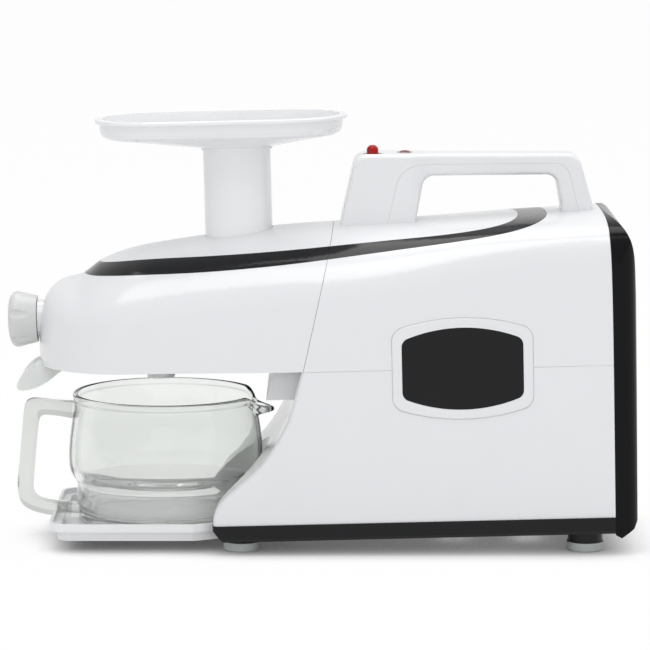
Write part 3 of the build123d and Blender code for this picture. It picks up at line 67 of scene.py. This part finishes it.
# ---------------------------------------------------------------- node helpers
class Nodes:
    """The node tree of a material or world, with the few wiring steps that the looks here need."""

    def __init__(self, owner, output="ShaderNodeOutputMaterial"):
        self.owner = owner
        owner.use_nodes = True
        self.tree = owner.node_tree
        self.tree.nodes.clear()
        self.output = self.add(output)

    def add(self, kind, sockets=None, **settings):
        """A new node; sockets gives the constants of its inputs, by their names."""
        node = self.tree.nodes.new(kind)
        for key, value in settings.items():
            setattr(node, key, value)
        for key, value in (sockets or {}).items():
            node.inputs[key].default_value = value
        return node

    def link(self, start, end):
        self.tree.links.new(start, end)

    def place(self, stretch=(1, 1, 1)):
        """Object coordinates in metres, stretched."""
        mapping = self.add("ShaderNodeMapping", {"Scale": stretch})
        self.link(self.add("ShaderNodeTexCoord").outputs["Object"], mapping.inputs["Vector"])
        return mapping.outputs["Vector"]

    def noise(self, scale, detail=3.0, stretch=(1, 1, 1)):
        node = self.add("ShaderNodeTexNoise", {"Scale": scale, "Detail": detail})
        self.link(self.place(stretch), node.inputs["Vector"])
        return node.outputs["Fac"]

    def spread(self, value, low, high):
        """The middle part of a noise, spread out from low to high."""
        node = self.add("ShaderNodeMapRange", {"From Min": 0.3, "From Max": 0.7, "To Min": low, "To Max": high})
        self.link(value, node.inputs["Value"])
        return node.outputs["Result"]

    def between(self, share, low, high):
        """A colour between two others."""
        node = self.add("ShaderNodeMix", {"A": (*low, 1), "B": (*high, 1)}, data_type="RGBA")
        self.link(share, node.inputs["Factor"])
        return node.outputs["Result"]

    def bump(self, height, distance, strength=1.0):
        node = self.add("ShaderNodeBump", {"Distance": distance, "Strength": strength})
        self.link(height, node.inputs["Height"])
        return node.outputs["Normal"]

    def principled(self, color, roughness, normal, **fixed):
        """The shader with a look's colour, gloss and relief; fixed gives its other sockets, as in Coat_Weight."""
        node = self.add("ShaderNodeBsdfPrincipled", {key.replace("_", " "): value for key, value in fixed.items()})
        self.link(color, node.inputs["Base Color"])
        self.link(roughness, node.inputs["Roughness"])
        self.link(normal, node.inputs["Normal"])
        if "Coat_Weight" in fixed:
            self.link(normal, node.inputs["Coat Normal"])
        return node.outputs["BSDF"]

    def show(self, shader):
        """Sends the shader to the output, and gives what the tree belongs to."""
        self.link(shader, self.output.inputs["Surface"])
        return self.owner

    def mixed(self, share, first, second):
        """The shader first where share is 0, and second where it is 1."""
        mix = self.add("ShaderNodeMixShader")
        self.link(share, mix.inputs["Fac"])
        self.link(first, mix.inputs[1])
        self.link(second, mix.inputs[2])
        return mix.outputs["Shader"]

    def most_of(self, first, second):
        node = self.add("ShaderNodeMath", operation="MAXIMUM")
        self.link(first, node.inputs[0])
        self.link(second, node.inputs[1])
        return node.outputs["Value"]

    def white_rays(self):
        """1 for the rays that see the studio as white: camera, glossy and transmission rays."""
        rays = self.add("ShaderNodeLightPath").outputs
        mirrored = self.most_of(rays["Is Glossy Ray"], rays["Is Transmission Ray"])
        return self.most_of(rays["Is Camera Ray"], mirrored)


def new_material(name):
    return Nodes(bpy.data.materials.new(name))


# ---------------------------------------------------------------- materials
def shade(color, share):
    return tuple(min(1.0, c * share) for c in color)


def moulded(name, color, rough, vary, grain, grain_scale, **fixed):
    """Moulded plastic: a faint orange-peel surface, slightly uneven gloss and a trace of colour drift."""
    n = new_material(name)
    tint = n.between(n.spread(n.noise(9.0), 0, 1), shade(color, 1 - vary), color)
    gloss = n.spread(n.noise(60.0, 5), rough * 0.88, rough * 1.14)
    peel = n.bump(n.noise(grain_scale, 2), grain)
    return n.show(n.principled(tint, gloss, peel, **fixed))


def metal(name, color, rough, scale, stretch=(1, 1, 1), depth=0.00002):
    """Worked metal: fine marks drawn out along the direction that stretch leaves long."""
    n = new_material(name)
    marks = n.noise(scale, 4, stretch)
    tint = n.between(n.spread(marks, 0, 1), shade(color, 0.88), color)
    gloss = n.spread(n.noise(scale * 0.4, 3, stretch), rough * 0.8, rough * 1.25)
    return n.show(n.principled(tint, gloss, n.bump(marks, depth), Metallic=1.0))


def banded(name, low, high, scale, rough, metallic, depth):
    """Windings or laminations: fine ridges side by side."""
    n = new_material(name)
    wave = n.add("ShaderNodeTexWave", {"Scale": scale, "Distortion": 0.6}, wave_type="BANDS", bands_direction="X")
    n.link(n.place(), wave.inputs["Vector"])
    tint = n.between(wave.outputs["Fac"], low, high)
    gloss = n.spread(n.noise(300.0), rough * 0.85, rough * 1.2)
    return n.show(n.principled(tint, gloss, n.bump(wave.outputs["Fac"], depth), Metallic=metallic))


def clear_glass(name, low, high, clear_share=1.0):
    """Clear pressed glass with a faint grey-green cast and slightly wavy walls; lamps shine through it."""
    n = new_material(name)
    tint = n.between(n.spread(n.noise(12.0), 0, 1), low, high)
    gloss = n.spread(n.noise(30.0), 0.0, 0.012)
    waves = n.bump(n.noise(34.0, 1, (1, 1, 0.35)), 0.0009, 0.5)
    glass = n.principled(tint, gloss, waves, Transmission_Weight=clear_share, IOR=1.5)
    clear = n.add("ShaderNodeBsdfTransparent", {"Color": (0.94, 0.95, 0.94, 1)})
    shadow_ray = n.add("ShaderNodeLightPath").outputs["Is Shadow Ray"]
    return n.show(n.mixed(shadow_ray, glass, clear.outputs["BSDF"]))


WHITE = (0.80, 0.802, 0.81)
COATED = {"IOR": 1.5, "Coat_Weight": 0.25, "Coat_Roughness": 0.06}
PLASTICS = {
    "gloss_white": dict(color=WHITE, rough=0.20, vary=0.015, grain=0.000012, grain_scale=420.0, **COATED),
    "gloss_black": dict(color=(0.0055, 0.0057, 0.0068), rough=0.13, vary=0.25, grain=0.00001, grain_scale=500.0,
                        Specular_IOR_Level=0.24),
    "cover_black": dict(color=(0.0030, 0.0031, 0.0040), rough=0.16, vary=0.25, grain=0.00001, grain_scale=500.0,
                        Specular_IOR_Level=0.14),
    "satin_black": dict(color=(0.008, 0.008, 0.009), rough=0.38, vary=0.2, grain=0.00004, grain_scale=1500.0,
                        Specular_IOR_Level=0.3),
    "rubber_grey": dict(color=(0.60, 0.63, 0.61), rough=0.6, vary=0.12, grain=0.00012, grain_scale=1800.0),
    "rest_grey": dict(color=(0.80, 0.80, 0.795), rough=0.34, vary=0.03, grain=0.00003, grain_scale=900.0),
    "seal_grey": dict(color=(0.50, 0.51, 0.52), rough=0.45, vary=0.06, grain=0.00005, grain_scale=1400.0),
    "neck_grey": dict(color=(0.52, 0.53, 0.54), rough=0.34, vary=0.04, grain=0.00003, grain_scale=900.0),
    "knob_white": dict(color=(0.66, 0.665, 0.65), rough=0.36, vary=0.03, grain=0.00003, grain_scale=900.0,
                       Subsurface_Weight=0.12, Subsurface_Scale=0.004),
    "translucent_white": dict(color=(0.88, 0.89, 0.86), rough=0.30, vary=0.03, grain=0.00004, grain_scale=700.0,
                              Transmission_Weight=0.15, IOR=1.47, Subsurface_Weight=0.3, Subsurface_Scale=0.006),
    # Whiter than the body's white: painted light that lifts the chute and trays, which sit in shade under the hood
    # and the feed tray.
    "tray_white": dict(color=(0.86, 0.86, 0.865), rough=0.20, vary=0.012, grain=0.000012, grain_scale=420.0,
                       **COATED),
    "red_plastic": dict(color=(0.37, 0.002, 0.002), rough=0.26, vary=0.15, grain=0.00002, grain_scale=700.0,
                        Coat_Weight=0.1, Coat_Roughness=0.08, Specular_IOR_Level=0.25),
    "dark_red_plastic": dict(color=(0.13, 0.006, 0.010), rough=0.24, vary=0.2, grain=0.00002, grain_scale=700.0,
                             Coat_Weight=0.3, Coat_Roughness=0.08),
    "gear_nylon": dict(color=(0.70, 0.66, 0.54), rough=0.42, vary=0.08, grain=0.00004, grain_scale=1100.0,
                       Subsurface_Weight=0.15, Subsurface_Scale=0.003),
    "fan_nylon": dict(color=(0.03, 0.03, 0.033), rough=0.5, vary=0.2, grain=0.00006, grain_scale=1300.0),
    "capacitor_case": dict(color=(0.52, 0.52, 0.50), rough=0.42, vary=0.06, grain=0.00003, grain_scale=900.0),
}
METALS = {
    "gear_steel": dict(color=(0.60, 0.60, 0.61), rough=0.26, scale=900.0, stretch=(0.2, 1, 1)),
    "screen_steel": dict(color=(0.58, 0.58, 0.60), rough=0.30, scale=1100.0, stretch=(0.15, 1, 1)),
    "shaft_steel": dict(color=(0.50, 0.50, 0.52), rough=0.24, scale=1500.0, stretch=(1, 0.2, 0.2)),
    "cast_aluminium": dict(color=(0.56, 0.57, 0.58), rough=0.46, scale=420.0, depth=0.00009),
    "bearing_bronze": dict(color=(0.56, 0.36, 0.16), rough=0.36, scale=1800.0, depth=0.00004),
    "pin_brass": dict(color=(0.68, 0.52, 0.22), rough=0.22, scale=1200.0, stretch=(0.2, 1, 1)),
    "screw_steel": dict(color=(0.58, 0.59, 0.60), rough=0.26, scale=900.0),
}
BANDED = {
    "stator_steel": dict(low=(0.05, 0.05, 0.055), high=(0.16, 0.16, 0.17), scale=320.0, rough=0.4, metallic=0.8,
                         depth=0.0001),
    "copper_windings": dict(low=(0.24, 0.06, 0.02), high=(0.62, 0.22, 0.08), scale=260.0, rough=0.32, metallic=0.7,
                            depth=0.0002),
}
GLASSES = {
    "clear_glass": dict(low=(0.865, 0.882, 0.865), high=(0.895, 0.91, 0.895)),
    # Darker grey-green glass for the solid handle: partly the glass's own cast, partly painted shade standing in
    # for the dark bands that refraction gives it.
    "thick_glass": dict(low=(0.60, 0.615, 0.59), high=(0.74, 0.755, 0.73)),
    # Painted light: paler, partly milky glass at the foot, lifting the grey that the light through the thick base
    # leaves there.
    "foot_glass": dict(low=(0.97, 0.98, 0.97), high=(1.0, 1.0, 1.0), clear_share=0.85),
}
looks = {}
for make, table in ((moulded, PLASTICS), (metal, METALS), (banded, BANDED), (clear_glass, GLASSES)):
    for name, settings in table.items():
        looks[name] = make(name, **settings)


# ---------------------------------------------------------------- CAD nodes: finish and shading
CREASE_DEGREES = 30.0
GLASS_CREASE_DEGREES = 48.0

slot_of = {s["node"]: s["material_slot"] for s in frame["record"]["subparts"]}
look_of = dict(slot_of)
# The chute and both trays take the whiter white with painted light.
look_of.update({"outlet_knob": "knob_white", "feed_tray": "tray_white", "drip_tray": "tray_white",
                "extraction_housing": "tray_white", "rear_cover": "cover_black"})


def smooth(piece, crease=CREASE_DEGREES):
    """Smooth shading, broken at the edges that turn by more than the crease."""
    for polygon in piece.data.polygons:
        polygon.use_smooth = True
    piece.modifiers.new("edges", "EDGE_SPLIT").split_angle = math.radians(crease)
    piece.modifiers.new("even", "WEIGHTED_NORMAL").weight = 50


for name, piece in nodes.items():
    piece.data.materials.clear()
    piece.data.materials.append(looks[look_of[name]])
    smooth(piece)


# ---------------------------------------------------------------- mesh helpers
def new_piece(name, mesh, body, look):
    piece = bpy.data.objects.new(name, mesh)
    scene.collection.objects.link(piece)
    piece.data.materials.clear()
    piece.data.materials.append(looks[look])
    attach(piece, body)
    return piece


def mesh_of(bm, name):
    bmesh.ops.remove_doubles(bm, verts=bm.verts, dist=1e-6)
    bmesh.ops.recalc_face_normals(bm, faces=bm.faces)
    mesh = bpy.data.meshes.new(name)
    bm.to_mesh(mesh)
    bm.free()
    return mesh


def baked(piece, name):
    """The piece's mesh with its modifiers applied, free of slivers."""
    evaluated = piece.evaluated_get(bpy.context.evaluated_depsgraph_get())
    bm = bmesh.new()
    bm.from_mesh(evaluated.data)
    bmesh.ops.remove_doubles(bm, verts=bm.verts, dist=1e-5)
    bmesh.ops.dissolve_degenerate(bm, edges=bm.edges, dist=1e-5)
    bmesh.ops.triangulate(bm, faces=[f for f in bm.faces if len(f.verts) > 4])
    return mesh_of(bm, name)


def united(name, first, second):
    """One closed mesh from two overlapping ones."""
    base, other = bpy.data.objects.new(name, first), bpy.data.objects.new(name + "_cutter", second)
    for piece in (base, other):
        scene.collection.objects.link(piece)
    join = base.modifiers.new("union", "BOOLEAN")
    join.operation, join.solver, join.object = "UNION", "EXACT", other
    mesh = baked(base, name)
    for piece in (base, other):
        bpy.data.objects.remove(piece)
    return mesh


def curve_points(points, steps):
    """Catmull-Rom points through the given ones."""
    out = []
    last = len(points) - 1
    for i in range(last):
        p = [Vector(points[min(max(i + k, 0), last)]) for k in (-1, 0, 1, 2)]
        for j in range(steps):
            t = j / steps
            out.append(0.5 * (2 * p[1] + (p[2] - p[0]) * t + (2 * p[0] - 5 * p[1] + 4 * p[2] - p[3]) * t * t
                              + (3 * p[1] - p[0] - 3 * p[2] + p[3]) * t ** 3))
    out.append(Vector(points[-1]))
    return out


def rise(value, low, high):
    """Smooth step from 0 at low to 1 at high."""
    t = min(1.0, max(0.0, (value - low) / (high - low)))
    return t * t * (3 - 2 * t)


# ---------------------------------------------------------------- handle grip with soft edges
HAND_GAP_MIDDLE = Vector((0.1355, 0.0, 0.2680))
GRIP_RADIUS = 0.0032
SHARP = math.radians(50)   # an edge that turns by more than this separates two faces of the grip


def rounded_grip(radius):
    """The under half of the handle, with the edges that a hand closes round turned to a soft radius."""
    source = nodes["handle_grip"]
    bm = bmesh.new()
    bm.from_mesh(source.data)
    bm.transform(source.matrix_world)
    bmesh.ops.remove_doubles(bm, verts=bm.verts, dist=1e-6)
    bmesh.ops.dissolve_limit(bm, angle_limit=math.radians(0.6), verts=bm.verts, edges=bm.edges)
    bm.normal_update()

    def towards_gap(face):
        away = HAND_GAP_MIDDLE - face.calc_center_median()
        away.y = 0
        return abs(face.normal.y) < 0.3 and face.normal.dot(away) > 0

    weight = bm.edges.layers.float.new("bevel_weight_edge")
    for edge in bm.edges:
        if len(edge.link_faces) == 2 and edge.calc_face_angle(0) > SHARP:
            sides = [f for f in edge.link_faces if abs(f.normal.y) > 0.7]
            if len(sides) == 1 and any(towards_gap(f) for f in edge.link_faces if f is not sides[0]):
                edge[weight] = 1.0
    piece = bpy.data.objects.new("grip_source", mesh_of(bm, "grip_source"))
    scene.collection.objects.link(piece)
    soft = piece.modifiers.new("soft", "BEVEL")
    soft.width, soft.segments, soft.limit_method = radius, 4, "WEIGHT"
    soft.use_clamp_overlap = False
    mesh = baked(piece, "handle_grip_soft")
    bpy.data.objects.remove(piece)
    return mesh


grip = new_piece("handle_grip_soft", rounded_grip(GRIP_RADIUS), "machine", look_of["handle_grip"])
smooth(grip)
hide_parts("handle_grip")


# ---------------------------------------------------------------- glass jug
# Outlines as (radius or x, height) from the middle of the jug's foot.
JUG_SIDE_MM = [(62.0, 0.0), (66.6, 0.4), (68.6, 3.0), (69.2, 10.0), (70.8, 17.5), (69.9, 25.0), (70.2, 31.0),
               (73.4, 36.0), (75.6, 41.0), (76.3, 48.0), (76.0, 60.0), (74.3, 75.0), (72.4, 88.0), (72.0, 94.0),
               (72.9, 97.5), (72.6, 100.3), (70.9, 101.4), (69.2, 100.2), (68.8, 96.5)]
JUG_INSIDE_MM = [(69.0, 88.0), (70.9, 75.0), (72.6, 60.0), (72.9, 48.0), (72.0, 42.0), (69.6, 37.0), (66.8, 32.0),
                 (66.3, 25.0), (66.0, 18.0), (63.5, 11.0), (57.0, 7.2), (44.0, 6.2), (20.0, 6.0)]
JUG_UNDERSIDE_MM = [(20.0, 2.9), (46.0, 2.4), (57.0, 1.2)]
JUG_FLOOR_MM = (3.0, 6.0)                  # heights of the floor's underside and top, on the axis
JUG_TURNS = 144
BEAK_DRAW_MM, BEAK_DRAW_HALF = 12.5, 0.21  # how far the rim is drawn out, and over which half angle
BEAK_DROP_MM, BEAK_DROP_HALF = 11.5, 0.50  # how far it dips there
HANDLE_OUTSIDE_MM = [(-70.8, 92.7), (-86.0, 94.6), (-97.5, 95.9), (-105.5, 96.0), (-110.2, 92.4), (-112.4, 80.0),
                     (-114.6, 56.0), (-116.6, 36.0), (-117.3, 24.0), (-114.8, 13.0), (-108.0, 7.0), (-96.0, 3.2),
                     (-82.0, 1.6), (-66.5, 0.8)]
HANDLE_INSIDE_MM = [(-70.8, 80.6), (-86.0, 82.0), (-94.5, 82.6), (-97.6, 81.6), (-99.5, 78.0), (-101.0, 66.0),
                    (-102.9, 46.0), (-104.3, 31.0), (-104.6, 24.5), (-102.6, 19.0), (-98.0, 16.4), (-90.0, 14.8),
                    (-79.0, 13.4), (-66.5, 12.2)]
HANDLE_HALF = 0.0070
HANDLE_SIDES = 28
HANDLE_SQUARENESS = 0.78                   # 1 gives an elliptical section, less a squarer one
JUG_PLACE = (-0.12135, 0, 0.013)
HANDLE_PAINTED_SHADE_BEFORE_X = -0.1955             # the handle
PAINTED_LIGHT_FOOT_BELOW_Z = 0.0445


def jug_body():
    """The turned glass: thick foot, waist, bulge and rolled rim, with the rim drawn out into a pouring beak."""
    wall = curve_points(JUG_UNDERSIDE_MM + JUG_SIDE_MM + JUG_INSIDE_MM, 4)
    line = [Vector((0, JUG_FLOOR_MM[0]))] + wall + [Vector((0, JUG_FLOOR_MM[1]))]
    bm = bmesh.new()
    rings = []
    for radius, height in line:
        ring = []
        for k in range(1 if radius < 0.01 else JUG_TURNS):
            angle = 2 * math.pi * k / JUG_TURNS
            off = abs((angle + math.pi) % (2 * math.pi) - math.pi)
            drop = (1 - rise(off, 0.0, BEAK_DROP_HALF)) * rise(height, 78.0, 101.0)
            draw = (1 - rise(off, 0.0, BEAK_DRAW_HALF)) * rise(height, 84.0, 97.0)
            r, z = radius + BEAK_DRAW_MM * draw, height - BEAK_DROP_MM * drop
            ring.append(bm.verts.new((r * math.cos(angle) / 1000, r * math.sin(angle) / 1000, z / 1000)))
        rings.append(ring)
    for a, b in zip(rings, rings[1:]):
        for k in range(JUG_TURNS):
            l = (k + 1) % JUG_TURNS
            corners = [a[k % len(a)], a[l % len(a)], b[l % len(b)], b[k % len(b)]]
            bm.faces.new([v for i, v in enumerate(corners) if v not in corners[:i]])
    return mesh_of(bm, "jug_glass")


def jug_handle():
    """Square loop of pressed glass with a rounded section, flared where it joins the wall."""
    outside, inside = curve_points(HANDLE_OUTSIDE_MM, 5), curve_points(HANDLE_INSIDE_MM, 5)
    bm = bmesh.new()
    rings = []
    last = len(outside) - 1
    for i, (o, f) in enumerate(zip(outside, inside)):
        flare = 1 + 0.16 * (1 - rise(min(i, last - i), 0, 5))
        middle, half = (o + f) / 2, (o - f) / 2 * flare
        ring = []
        for k in range(HANDLE_SIDES):
            angle = 2 * math.pi * k / HANDLE_SIDES
            c, d = (math.copysign(abs(v) ** HANDLE_SQUARENESS, v) for v in (math.cos(angle), math.sin(angle)))
            ring.append(bm.verts.new(((middle.x + half.x * c) / 1000, HANDLE_HALF * flare * d,
                                      (middle.y + half.y * c) / 1000)))
        rings.append(ring)
    for a, b in zip(rings, rings[1:]):
        for k in range(HANDLE_SIDES):
            l = (k + 1) % HANDLE_SIDES
            bm.faces.new([a[k], a[l], b[l], b[k]])
    bm.faces.new(rings[0])
    bm.faces.new(rings[-1])
    return mesh_of(bm, "jug_loop")


jug = new_piece("jug_glass", united("jug", jug_body(), jug_handle()), "jug", "clear_glass")
jug.data.transform(Matrix.Translation(JUG_PLACE))
jug.data.materials.append(looks["thick_glass"])
jug.data.materials.append(looks["foot_glass"])
# The handle's faces take the darker glass with painted shade.
for polygon in jug.data.polygons:
    if polygon.center.x < HANDLE_PAINTED_SHADE_BEFORE_X:
        polygon.material_index = 1
    # Faces of the foot take the pale glass with painted light.
    elif polygon.center.z < PAINTED_LIGHT_FOOT_BELOW_Z:
        polygon.material_index = 2
smooth(jug, GLASS_CREASE_DEGREES)
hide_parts("jug")


# ---------------------------------------------------------------- lamps
def area_light(name, place, aim, width, depth, power, mirrored=True):
    """A soft rectangular lamp; one that isn't mirrored leaves no square in gloss or glass."""
    data = bpy.data.lights.new(name, "AREA")
    data.shape = "RECTANGLE"
    data.size, data.size_y = width, depth
    data.energy = power
    lamp = bpy.data.objects.new(name, data)
    lamp.location = place
    lamp.rotation_euler = (Vector(aim) - Vector(place)).to_track_quat("-Z", "Y").to_euler()
    lamp.visible_glossy = lamp.visible_transmission = mirrored
    scene.collection.objects.link(lamp)


area_light("key", (-0.5, -1.2, 2.6), (0, 0, 0.12), 1.6, 1.6, 19.5)
area_light("front", (-0.3, -2.6, 0.55), (0, 0, 0.12), 2.6, 1.0, 10.2, mirrored=False)
area_light("top", (0.2, 0.6, 2.5), (0.05, 0, 0.15), 2.2, 1.2, 25.0)
area_light("rim", (2.2, -0.4, 1.4), (0.1, 0, 0.15), 1.0, 1.6, 6.0)


# ---------------------------------------------------------------- floor: white, with a short shadow round the feet
FLOOR_SIZE = 24.0
GLOW_SHARE = 0.97          # of the floor's white; the rest is paint that takes real shadows
SHADOW_REACH = 0.045
SHADOW_FULL_LIGHT = 0.78   # openness at which the shadow has gone
SHADOW_DARKEST = 0.05

bpy.ops.mesh.primitive_plane_add(size=FLOOR_SIZE)
floor = bpy.context.object
floor.name = "floor"
n = new_material("floor")
paint = n.add("ShaderNodeBsdfDiffuse")
n.link(n.between(n.noise(3.0), (0.80, 0.80, 0.80), (0.84, 0.84, 0.84)), paint.inputs["Color"])
openness = n.add("ShaderNodeAmbientOcclusion", {"Distance": SHADOW_REACH}, samples=8)
fade = n.add("ShaderNodeMapRange", {"From Max": SHADOW_FULL_LIGHT, "To Min": SHADOW_DARKEST})
n.link(openness.outputs["AO"], fade.inputs["Value"])
glow = n.add("ShaderNodeEmission", {"Strength": 1.0})
n.link(fade.outputs["Result"], glow.inputs["Color"])
share = n.add("ShaderNodeMath", {1: GLOW_SHARE}, operation="MULTIPLY")
n.link(n.white_rays(), share.inputs[0])
floor.data.materials.append(
    n.show(n.mixed(share.outputs["Value"], paint.outputs["BSDF"], glow.outputs["Emission"])))


# ---------------------------------------------------------------- world: soft cool light, seen as white
FILL_COLOR, FILL_STRENGTH = (0.95, 0.97, 1.0, 1), 0.60
MIRRORED_WHITE, OPEN_WHITE = 0.8, 1.0      # strength in gloss and glass, and straight from the camera

scene.world = bpy.data.worlds.new("studio")
w = Nodes(scene.world, "ShaderNodeOutputWorld")
fill = w.add("ShaderNodeBackground", {"Color": FILL_COLOR, "Strength": FILL_STRENGTH})
white = w.add("ShaderNodeBackground", {"Color": (1, 1, 1, 1)})
strength = w.add("ShaderNodeMapRange", {"To Min": MIRRORED_WHITE, "To Max": OPEN_WHITE})
w.link(w.add("ShaderNodeLightPath").outputs["Is Camera Ray"], strength.inputs["Value"])
w.link(strength.outputs["Result"], white.inputs["Strength"])
w.show(w.mixed(w.white_rays(), fill.outputs["Background"], white.outputs["Background"]))
